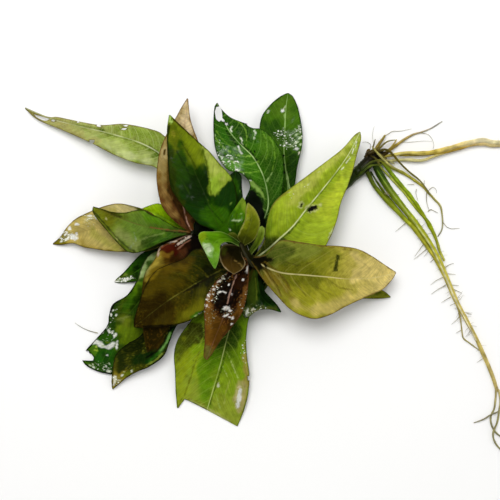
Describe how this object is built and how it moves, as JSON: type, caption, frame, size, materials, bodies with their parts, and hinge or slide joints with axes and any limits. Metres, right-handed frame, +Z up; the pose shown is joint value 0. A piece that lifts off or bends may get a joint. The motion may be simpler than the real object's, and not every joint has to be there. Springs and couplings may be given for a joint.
{
  "type": "aquarium stem plant",
  "caption": "Picked hygrophila lying flat: a rosette of broad pointed wet leaves round a stem that ends in trailing roots.",
  "frame": {"origin": "on the table, below the middle of the plant's box", "axes": "+Z up from the table, +X from the leaf tips on the left towards the root end, +Y towards the top leaf tips"},
  "size_m": [0.1961, 0.145, 0.033],
  "materials": {
    "stem": "dark green stem, brown at its rooting end",
    "side_shoot": "dark green shoot",
    "root_long_tan": "tan root",
    "root_long_tan_branch": "tan root",
    "root_upper_thin": "thin tan root",
    "root_short": "dark brown root stub",
    "root_main": "olive-green root",
    "root_fork_left": "olive root end",
    "root_fork_right": "olive root end",
    "root_bundle_inner": "green root",
    "root_bundle_outer": "yellow-green root",
    "root_thin_outer": "thin olive root",
    "root_thin_inner": "thin olive root",
    "root_side_branch": "thin side root",
    "root_end_strand": "thin side root",
    "leaf_left_dark": "wet dark green leaf",
    "leaf_lower_dark": "wet dark green leaf with yellow-green patches",
    "leaf_lower_mottled": "wet mottled dark olive leaf with a yellow tip",
    "leaf_left_sliver": "bright lime leaf",
    "leaf_left_long": "light yellow-green leaf, tan margins, decayed tip",
    "leaf_left_yellow": "yellowing tan leaf with wet patches",
    "leaf_purple_fold": "brown leaf with a purple-red folded base",
    "leaf_left_olive": "green leaf with an olive tip",
    "leaf_top_tan": "tan leaf, brown towards its base",
    "leaf_upper_round": "dark green glossy leaf",
    "leaf_bottom_green": "yellow-green leaf with a tan margin",
    "leaf_right_hidden": "green leaf",
    "leaf_upper_glossy": "dark green glossy leaf with pale veins",
    "leaf_under_dark": "very dark green wet leaf",
    "leaf_right_lime": "bright yellow-green leaf with a pale midrib",
    "leaf_brown_broad": "brown-olive leaf, dark green towards its base",
    "leaf_right_olive": "olive-yellow leaf with a tan tip",
    "bud_pale": "pale green young leaf",
    "leaf_inner_dark": "dark green leaf",
    "leaf_red_wet": "wet red-brown leaf with a pink midrib",
    "leaf_top_broad": "light green translucent leaf",
    "leaf_young_cupped": "brown-olive young leaf with a cream rim",
    "leaf_young_upright": "fresh green young leaf",
    "leaf_young_arched": "olive-yellow young leaf",
    "bud_scale": "olive bud scale",
    "leaf_small_bright": "bright yellow-green young leaf"
  },
  "bodies": {
    "root": {"stem": "stem", "side_shoot": "side_shoot", "root_long_tan": "root_long_tan", "root_long_tan_branch": "root_long_tan_branch", "root_upper_thin": "root_upper_thin", "root_short": "root_short", "root_main": "root_main", "root_fork_left": "root_fork_left", "root_fork_right": "root_fork_right", "root_bundle_inner": "root_bundle_inner", "root_bundle_outer": "root_bundle_outer", "root_thin_outer": "root_thin_outer", "root_thin_inner": "root_thin_inner", "root_side_branch": "root_side_branch", "root_end_strand": "root_end_strand", "leaf_left_dark": "leaf_left_dark", "leaf_lower_dark": "leaf_lower_dark", "leaf_lower_mottled": "leaf_lower_mottled", "leaf_left_sliver": "leaf_left_sliver", "leaf_left_long": "leaf_left_long", "leaf_left_yellow": "leaf_left_yellow", "leaf_purple_fold": "leaf_purple_fold", "leaf_left_olive": "leaf_left_olive", "leaf_top_tan": "leaf_top_tan", "leaf_upper_round": "leaf_upper_round", "leaf_bottom_green": "leaf_bottom_green", "leaf_right_hidden": "leaf_right_hidden", "leaf_upper_glossy": "leaf_upper_glossy", "leaf_under_dark": "leaf_under_dark", "leaf_right_lime": "leaf_right_lime", "leaf_brown_broad": "leaf_brown_broad", "leaf_right_olive": "leaf_right_olive", "bud_pale": "bud_pale", "leaf_inner_dark": "leaf_inner_dark", "leaf_red_wet": "leaf_red_wet", "leaf_top_broad": "leaf_top_broad", "leaf_young_cupped": "leaf_young_cupped", "leaf_young_upright": "leaf_young_upright", "leaf_young_arched": "leaf_young_arched", "bud_scale": "bud_scale", "leaf_small_bright": "leaf_small_bright"}
  },
  "joints": []
}
